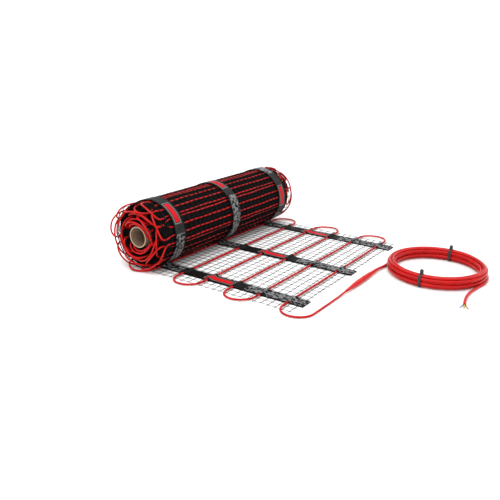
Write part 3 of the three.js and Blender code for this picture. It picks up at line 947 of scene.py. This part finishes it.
for step in range(segments):
    angle = step * 2 * math.pi / segments
    for radius, across in profile:
        verts.append((axis_x + radius * math.cos(angle), across, axis_z + radius * math.sin(angle)))
    after = (step + 1) % segments
    here, there = step * len(profile), after * len(profile)
    for corner in range(len(profile)):
        beside = (corner + 1) % len(profile)
        faces.append((here + corner, here + beside, there + beside, there + corner))
mesh = bpy.data.meshes.new("board_tube")
mesh.from_pydata(verts, [], faces)
board_tube = add_object("board_tube", mesh, smooth=False)
board_tube.data.materials.append(card)
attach(board_tube, "root")
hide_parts("core_tube")

# Tapes
# Three dark printed tapes, stuck on both faces of the mesh, hold the runs in place. On the flat
# part they arch over each run; on the roll their outer face shows. The print repeats along them:
# a plain red panel in a thin pale outline, a plain stretch, and a long speckled stretch.
tape_width = 0.0286
tape_thickness = 0.00035
tape_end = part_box("upper_tape_near")[1].x - first_run_x
print_period = 0.330
panel_middle = 0.139
panel_half_width = 0.0056
speckle_start = 0.202
border_half_width = 0.0122
panel_red = (0.52, 0.007, 0.011, 1)
outline_grey = (0.55, 0.55, 0.56, 1)
speckle_grey = (0.18, 0.18, 0.185, 1)
tape_print, given, result = new_group(
    "tape_print",
    [
        ("Across Middle", "Float", 0.0),
        ("Shift", "Float", 0.0),
        ("Half Panel", "Float", 0.030),
        ("Speckle End", "Float", 0.048),
        ("Plain Colour", "Color", (0.05, 0.05, 0.05, 1)),
        ("Ground Colour", "Color", (0.01, 0.01, 0.01, 1)),
    ],
    [("Colour", "Color"), ("Height", "Float"), ("Roughness", "Float")],
)
lay = put(tape_print, "ShaderNodeAttribute", {"attribute_name": "unrolled"}).outputs["Vector"]
axes = put(tape_print, "ShaderNodeSeparateXYZ", Vector=lay)
shifted = arithmetic(tape_print, "ADD", axes.outputs["X"], given["Shift"])
run_on = arithmetic(tape_print, "WRAP", shifted, print_period, 0.0)
aside = arithmetic(tape_print, "SUBTRACT", axes.outputs["Y"], given["Across Middle"])
from_middle = arithmetic(tape_print, "ABSOLUTE", aside)
panel_place = arithmetic(tape_print, "SUBTRACT", run_on, panel_middle)
panel_from_middle = arithmetic(tape_print, "ABSOLUTE", panel_place)
past_panel = arithmetic(tape_print, "SUBTRACT", panel_from_middle, given["Half Panel"])


def within(value, limit, soft=0.0003):
    return ranged(tape_print, value, limit - soft, limit + soft, 1.0, 0.0)


def framed(past_ends, half_width):
    """A field round the panel that far past its ends and that far from the tape's middle."""
    return arithmetic(tape_print, "MULTIPLY", within(past_panel, past_ends), within(from_middle, half_width))


panel = framed(0.0, panel_half_width)
outline_outer = framed(0.0032, 0.0090)
outline_inner = framed(0.0018, 0.0075)
outline = arithmetic(tape_print, "SUBTRACT", outline_outer, outline_inner)
speckle_from = within(arithmetic(tape_print, "SUBTRACT", run_on, given["Speckle End"]), 0.0)
speckle_to = arithmetic(tape_print, "SUBTRACT", 1.0, within(run_on, speckle_start))
speckled = arithmetic(tape_print, "MAXIMUM", speckle_from, speckle_to)
cells = put(tape_print, "ShaderNodeTexVoronoi", Vector=lay, Scale=150.0, Randomness=0.9)
blots = put(tape_print, "ShaderNodeTexNoise", Vector=lay, Scale=170.0, Detail=4.0, Distortion=1.6)
broken = arithmetic(tape_print, "MULTIPLY_ADD", cells.outputs["Distance"], 0.7, blots.outputs["Fac"])
marks = ranged(tape_print, broken, 0.78, 0.94, 0.0, 1.0)
inside_border = within(from_middle, border_half_width)
printable = arithmetic(tape_print, "MULTIPLY", speckled, inside_border)
marks = arithmetic(tape_print, "MULTIPLY", marks, printable)
cloth = put(tape_print, "ShaderNodeTexNoise", Vector=lay, Scale=2200.0, Detail=3.0)
wear = put(tape_print, "ShaderNodeTexNoise", Vector=lay, Scale=70.0, Detail=4.0)
scuffed = ranged(tape_print, wear.outputs["Fac"], 0.35, 0.75, 0.0, 0.4)
plain = blend_colours(tape_print, scuffed, given["Plain Colour"], given["Ground Colour"])
printed = blend_colours(tape_print, speckled, plain, given["Ground Colour"])
bordered = blend_colours(tape_print, inside_border, given["Ground Colour"], printed)
dotted = blend_colours(tape_print, marks, bordered, speckle_grey)
faint_outline = arithmetic(tape_print, "MULTIPLY", outline, 0.35)
outlined = blend_colours(tape_print, faint_outline, dotted, outline_grey)
tape_print.links.new(blend_colours(tape_print, panel, outlined, panel_red), result["Colour"])
tape_print.links.new(cloth.outputs["Fac"], result["Height"])
tape_print.links.new(ranged(tape_print, wear.outputs["Fac"], 0.3, 0.7, 0.38, 0.6), result["Roughness"])


def tape_material(name, across, shift, half_panel, speckle_end, plain, ground):
    material, tree, shader = start_material(name)
    group = put(
        tree,
        "ShaderNodeGroup",
        {"node_tree": tape_print},
        Across_Middle=across,
        Shift=shift,
        Half_Panel=half_panel,
        Speckle_End=speckle_end,
        Plain_Colour=(plain, plain, plain, 1),
        Ground_Colour=(ground, ground, ground, 1),
    )
    shader.inputs["Specular IOR Level"].default_value = 0.05
    tree.links.new(group.outputs["Colour"], shader.inputs["Base Color"])
    tree.links.new(group.outputs["Roughness"], shader.inputs["Roughness"])
    add_relief(tree, shader, group.outputs["Height"], 0.4, 0.00008)
    return material


flat_tape_height = 0.0016
flat_tape_arch = 0.0036
flat_arch_length = 0.0042
band_lift = 0.0006
band_arch = 0.0007
band_arch_length = 0.006


def upper_height(along, across):
    bump = np.exp(-(np.abs(from_nearest_run(along) / flat_arch_length) ** 2.4))
    bump = np.where(along > -0.012, bump, 0)
    pull = 0.00015 * np.sin(across * 310 + along * 90) + 0.0001 * np.sin(along * 230 - across * 150)
    return flat_tape_height + flat_tape_arch * bump + pull


def outer_height(along, across):
    bump = np.exp(-((from_nearest_run(along) / band_arch_length) ** 2))
    pull = 0.00008 * np.sin(across * 420 + along * 60)
    return -band_lift - band_arch * bump - tape_thickness + pull


band_turns = 0.965
band_end = -2 * math.pi * band_turns * (axis_z - turn_pitch / 2)
band_shifts = {"near": 0.428, "middle": 0.386, "far": 0.470}
# Half panel, end of the speckle, and the greys of the plain stretch and of the ground
flat_print_sizes = (0.030, 0.048, 0.007, 0.0015)
band_print_sizes = (0.022, 0.094, 0.024, 0.005)
under_dark = (0.012, 0.012, 0.013)
under_pale = (0.02, 0.02, 0.021)
for row in ("near", "middle", "far"):
    low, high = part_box("upper_tape_" + row)
    middle = (low.y + high.y) / 2
    across = np.linspace(middle - tape_width / 2, middle + tape_width / 2, 15)
    flat_along = np.arange(roll_start, tape_end + 0.0005, 0.0014)
    flat_tape = slab("tape_flat_" + row, flat_along, across, upper_height, tape_thickness)
    flat_print = tape_material("tape_flat_" + row, middle, 0.0, *flat_print_sizes)
    flat_tape.data.materials.append(flat_print)
    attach(flat_tape, "root")
    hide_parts("upper_tape_" + row)
    band_along = np.arange(band_end, roll_start, 0.0025)
    band = slab("tape_band_" + row, band_along, across, outer_height, tape_thickness)
    band_print = tape_material("tape_band_" + row, middle, band_shifts[row], *band_print_sizes)
    band.data.materials.append(band_print)
    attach(band, "root")
    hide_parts("roll_tape_" + row)
    for piece in (flat_tape, band):
        piece.data.polygons.foreach_set("use_smooth", [True] * len(piece.data.polygons))
    under = nodes["lower_tape_" + row]
    under_black = plastic_material("lower_tape_" + row, under_dark, under_pale, 0.5, 0.7)
    under.data.materials.clear()
    under.data.materials.append(under_black)

# Floor and light
# A white studio floor, with broad soft lights above and behind the camera.
floor_material, tree, shader = start_material("studio_floor")
tone = put(tree, "ShaderNodeTexNoise", Scale=3.0, Detail=2.0)
tree.links.new(
    blend_colours(tree, tone.outputs["Fac"], (0.90, 0.90, 0.90, 1), (0.93, 0.93, 0.93, 1)),
    shader.inputs["Base Color"],
)
shader.inputs["Roughness"].default_value = 0.9
half_floor = 15
floor_below_mat = 0.0002
corners = [(x * half_floor, y * half_floor, 0) for x, y in ((-1, -1), (1, -1), (1, 1), (-1, 1))]
mesh = bpy.data.meshes.new("studio_floor")
mesh.from_pydata(corners, [], [(0, 1, 2, 3)])
floor = add_object("studio_floor", mesh)
floor.location.z = -floor_below_mat
floor.data.materials.append(floor_material)

world = bpy.data.worlds.new("studio")
world.use_nodes = True
tree = world.node_tree
direction = put(tree, "ShaderNodeTexCoord").outputs["Generated"]
steepness = put(tree, "ShaderNodeSeparateXYZ", Vector=direction).outputs["Z"]
ceiling_glow = put(tree, "ShaderNodeValToRGB", Fac=steepness)
stops = ceiling_glow.color_ramp.elements
stops[0].position = 0.22
stops[0].color = (1, 1, 1, 1)
stops[1].position = 1.0
stops[1].color = (1, 1, 1, 1)
for position, glow in ((0.32, 0.26), (0.55, 0.45), (0.8, 0.95)):
    stops.new(position).color = (glow, glow, glow, 1)
ceiling_strength = 1.6
brightness = arithmetic(tree, "MULTIPLY", ceiling_glow.outputs["Color"], ceiling_strength)
horizon = ranged(tree, steepness, 0.22, 0.30, 1.0, 0.0)
strength = arithmetic(tree, "MAXIMUM", brightness, horizon)
tree.links.new(strength, tree.nodes["Background"].inputs["Strength"])
tree.nodes["Background"].inputs["Color"].default_value = (1, 1, 1, 1)
bpy.context.scene.world = world
studio_lights = {
    "key": ((0.2, -0.9, 1.6), 1.0, 10.0),
    "fill": ((-1.3, -0.6, 1.3), 1.4, 3.0),
    "back": ((0.2, 1.3, 1.5), 1.5, 4.0),
}
for name, (place, size, power) in studio_lights.items():
    data = bpy.data.lights.new("studio_" + name, "AREA")
    data.size = size
    data.energy = power
    lamp = bpy.data.objects.new("studio_" + name, data)
    lamp.location = place
    lamp.rotation_euler = (-Vector(place)).to_track_quat("-Z", "Y").to_euler()
    bpy.context.scene.collection.objects.link(lamp)
sky = bpy.data.lights.new("studio_ceiling", "SUN")
sky.energy = 0.35
sky.angle = math.radians(120)
ceiling = bpy.data.objects.new("studio_ceiling", sky)
bpy.context.scene.collection.objects.link(ceiling)
bpy.context.scene.view_settings.view_transform = "Standard"
